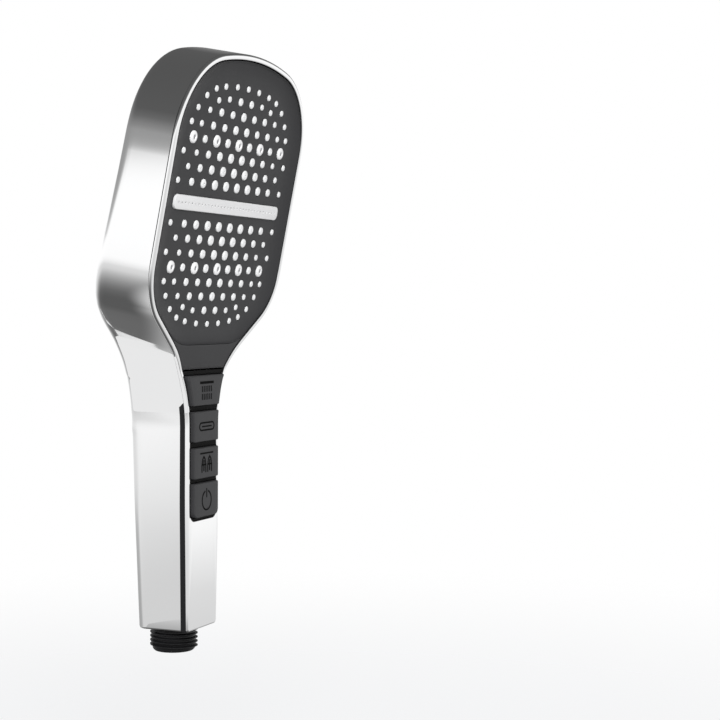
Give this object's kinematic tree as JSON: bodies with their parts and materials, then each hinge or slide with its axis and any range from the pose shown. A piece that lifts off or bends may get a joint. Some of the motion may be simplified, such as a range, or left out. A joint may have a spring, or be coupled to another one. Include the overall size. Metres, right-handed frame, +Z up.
{
  "type": "handheld shower head",
  "caption": "Handheld shower head with a wide paddle face, a blade bar across soft nozzles, press keys on the handle and a threaded hose inlet.",
  "frame": {"origin": "middle of the hose thread's end face, where the hose washer seals", "axes": "+Z runs up the handle to the head, the spray face and the keys face -Y, and X is the width"},
  "size_m": [0.121, 0.0561, 0.2621],
  "materials": {
    "chrome_plate": "bright chrome plating on moulded plastic",
    "strip_black": "satin black inlay",
    "plate_grey": "fine grained matt dark grey",
    "soft_nozzle": "light soft silicone",
    "hard_nozzle": "light hard plastic",
    "bar_finish": "light satin plastic with fine holes",
    "inner_plastic": "unpainted moulded plastic",
    "frame_black": "black moulded plastic",
    "key_grey": "fine grained matt dark grey",
    "seal_rubber": "black rubber",
    "plunger_brass": "turned brass",
    "steel": "stainless steel",
    "thread_black": "black moulded plastic",
    "valve_plastic": "white moulded plastic"
  },
  "bodies": {
    "root": {"rear_shell": "chrome_plate", "front_bezel": "chrome_plate", "trim_strip_left": "strip_black", "trim_strip_right": "strip_black", "face_plate": "plate_grey", "nozzle_sheet_upper": "soft_nozzle", "nozzle_sheet_lower": "soft_nozzle", "massage_nozzles": "hard_nozzle", "blade_bar": "bar_finish", "diffuser_plate": "inner_plastic", "chamber_gasket": "seal_rubber", "chamber_back": "inner_plastic", "neck_manifold": "inner_plastic", "valve_block": "inner_plastic", "key_frame": "frame_black", "key_spring_rain": "steel", "key_spring_blade": "steel", "key_spring_massage": "steel", "key_spring_stop": "steel", "latch_spring": "steel", "core_tube": "inner_plastic", "inlet_connector": "thread_black", "connector_seals": "seal_rubber", "check_valve": "valve_plastic", "inlet_strainer": "steel", "connector_clip": "steel", "face_screws": "steel", "valve_screws": "steel"},
    "key_rain_body": {"key_rain": "key_grey", "plunger_rain": "plunger_brass", "plunger_seals_rain": "seal_rubber"},
    "key_blade_body": {"key_blade": "key_grey", "plunger_blade": "plunger_brass", "plunger_seals_blade": "seal_rubber"},
    "key_massage_body": {"key_massage": "key_grey", "plunger_massage": "plunger_brass", "plunger_seals_massage": "seal_rubber"},
    "key_stop_body": {"key_stop": "key_grey", "plunger_stop": "plunger_brass", "plunger_seals_stop": "seal_rubber"},
    "latch_body": {"latch_slide": "steel"}
  },
  "joints": [
    {"name": "key_rain_press", "type": "slide", "parent": "root", "child": "key_rain_body", "axis": [0, 1, 0], "range_m": [0, 0.0025], "stiffness_N_per_m": 600, "springref_m": -0.001, "deforming": ["key_spring_rain"]},
    {"name": "key_blade_press", "type": "slide", "parent": "root", "child": "key_blade_body", "axis": [0, 1, 0], "range_m": [0, 0.0025], "stiffness_N_per_m": 600, "springref_m": -0.001, "deforming": ["key_spring_blade"]},
    {"name": "key_massage_press", "type": "slide", "parent": "root", "child": "key_massage_body", "axis": [0, 1, 0], "range_m": [0, 0.0025], "stiffness_N_per_m": 600, "springref_m": -0.001, "deforming": ["key_spring_massage"]},
    {"name": "key_stop_press", "type": "slide", "parent": "root", "child": "key_stop_body", "axis": [0, 1, 0], "range_m": [0, 0.0025], "stiffness_N_per_m": 600, "springref_m": -0.001, "deforming": ["key_spring_stop"]},
    {"name": "latch_shift", "type": "slide", "parent": "root", "child": "latch_body", "axis": [0, 0, -1], "range_m": [0, 0.0015], "stiffness_N_per_m": 500, "springref_m": -0.001, "deforming": ["latch_spring"]}
  ]
}
